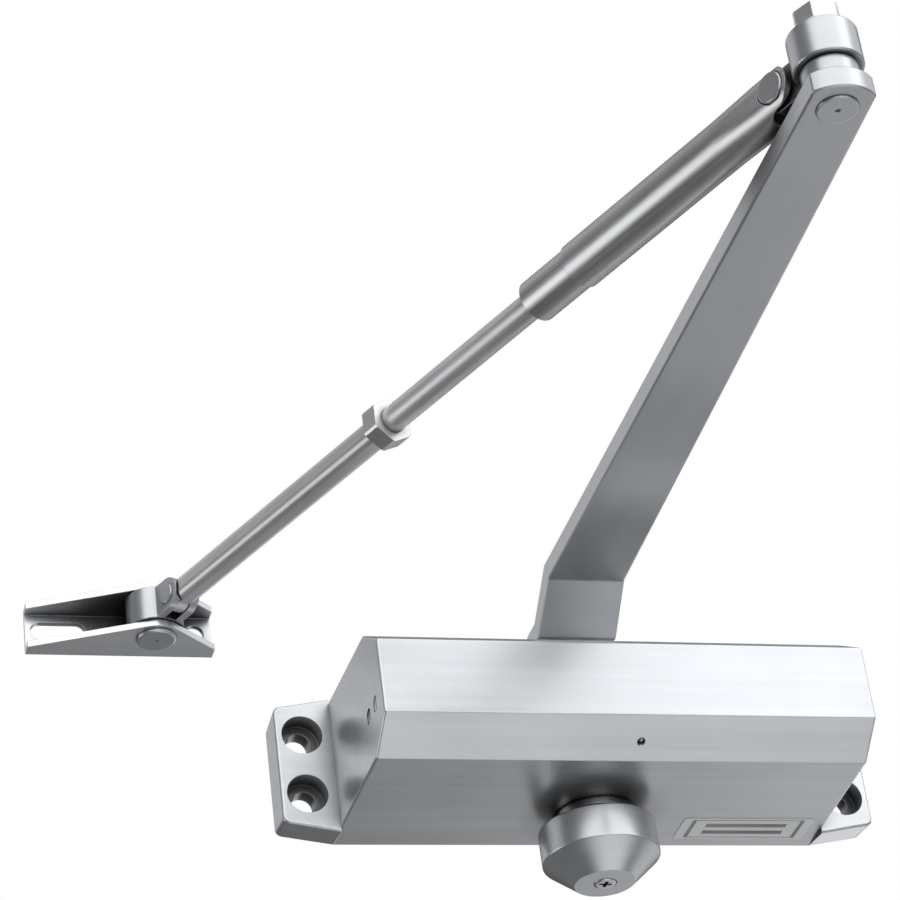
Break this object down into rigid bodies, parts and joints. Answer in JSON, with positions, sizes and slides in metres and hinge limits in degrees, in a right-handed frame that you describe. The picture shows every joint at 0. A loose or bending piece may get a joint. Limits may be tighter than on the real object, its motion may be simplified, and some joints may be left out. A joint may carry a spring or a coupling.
{
  "type": "door closer",
  "caption": "Surface-mounted hydraulic door closer with a rack and pinion inside, a joggled main arm and an adjustable forearm ending in a frame shoe.",
  "frame": {"origin": "centre of the four body screw holes, on the back face that lies on the door", "axes": "X along the body, +Y into the door, +Z along the pinion towards the arm side"},
  "size_m": [0.2488, 0.2968, 0.1176],
  "materials": {
    "body_paint": "satin silver enamel on an aluminium casting",
    "arm_paint": "satin silver enamel on steel",
    "plated_tube": "zinc plated",
    "zinc_screws": "bright zinc",
    "machined_steel": "turned",
    "spring_steel": "oiled",
    "bearing_bronze": "sintered bronze",
    "seal_rubber": "matt",
    "label": "blank foil sticker"
  },
  "bodies": {
    "body": {"body_casting": "body_paint", "passage_ball": "machined_steel", "body_label": "label", "end_plug": "machined_steel", "end_plug_seal": "seal_rubber", "closer_spring": "spring_steel", "upper_bearing": "bearing_bronze", "lower_bearing": "bearing_bronze", "upper_shaft_seal": "seal_rubber", "lower_shaft_seal": "seal_rubber", "upper_bearing_retainer": "machined_steel", "lower_bearing_retainer": "machined_steel"},
    "piston": {"piston": "machined_steel", "check_valve_ball": "spring_steel", "check_valve_retainer": "bearing_bronze"},
    "pinion": {"pinion_shaft": "machined_steel", "pinion_cap": "body_paint", "cap_screw": "zinc_screws", "main_arm": "arm_paint", "arm_washer": "zinc_screws", "arm_screw": "zinc_screws", "elbow_stud": "arm_paint", "elbow_washer": "zinc_screws", "elbow_nut": "zinc_screws"},
    "elbow": {"elbow_knuckle": "arm_paint"},
    "forearm": {"forearm_tube": "plated_tube", "elbow_tilt_rivet": "arm_paint"},
    "shoe_rod": {"shoe_rod": "plated_tube"},
    "lock_nut": {"lock_nut": "zinc_screws"},
    "shoe_swivel": {"shoe_knuckle": "arm_paint", "shoe_tilt_rivet": "arm_paint"},
    "shoe": {"shoe_bracket": "arm_paint", "shoe_pin": "arm_paint"},
    "closing_valve": {"closing_speed_valve": "zinc_screws", "closing_valve_seal": "seal_rubber"},
    "latching_valve": {"latching_speed_valve": "zinc_screws", "latching_valve_seal": "seal_rubber"}
  },
  "joints": [
    {"name": "pinion_turn", "type": "hinge", "parent": "body", "child": "pinion", "pos_m": [0, -0.02, 0], "axis": [0, 0, 1], "range_deg": [0, 180], "stiffness_Nm_per_rad": 2, "springref_deg": -34.38},
    {"name": "piston_slide", "type": "slide", "parent": "body", "child": "piston", "axis": [1, 0, 0], "range_m": [0, 0.0205], "deforming": ["closer_spring"]},
    {"name": "elbow_turn", "type": "hinge", "parent": "pinion", "child": "elbow", "pos_m": [-0.00175, -0.26739, 0.0594], "axis": [0, 0, 1], "continuous": true},
    {"name": "forearm_tilt", "type": "hinge", "parent": "elbow", "child": "forearm", "pos_m": [-0.00744, -0.25417, 0.0594], "axis": [0.9186, 0.3952, 0], "range_deg": [0, 25]},
    {"name": "forearm_length", "type": "slide", "parent": "forearm", "child": "shoe_rod", "axis": [-0.3952, 0.9186, 0], "range_m": [-0.038, 0.012]},
    {"name": "lock_nut_travel", "type": "slide", "parent": "shoe_rod", "child": "lock_nut", "axis": [0.3952, -0.9186, 0], "range_m": [0, 0.025]},
    {"name": "shoe_tilt", "type": "hinge", "parent": "shoe_rod", "child": "shoe_swivel", "pos_m": [-0.11486, -0.00449, 0.0594], "axis": [0.9186, 0.3952, 0], "range_deg": [-20, 20]},
    {"name": "shoe_turn", "type": "hinge", "parent": "shoe_swivel", "child": "shoe", "pos_m": [-0.12, 0.00745, 0.0594], "axis": [0, 0, 1], "range_deg": [-45, 60]},
    {"name": "closing_valve_turn", "type": "hinge", "parent": "body", "child": "closing_valve", "pos_m": [-0.073, -0.0584, -0.0052], "axis": [1, 0, 0], "range_deg": [-180, 180]},
    {"name": "latching_valve_turn", "type": "hinge", "parent": "body", "child": "latching_valve", "pos_m": [-0.073, -0.0509, -0.0052], "axis": [1, 0, 0], "range_deg": [-180, 180]}
  ],
  "couplings": [
    {"joint": "piston_slide", "follows": "pinion_turn", "m_per_rad": 0.0065}
  ]
}
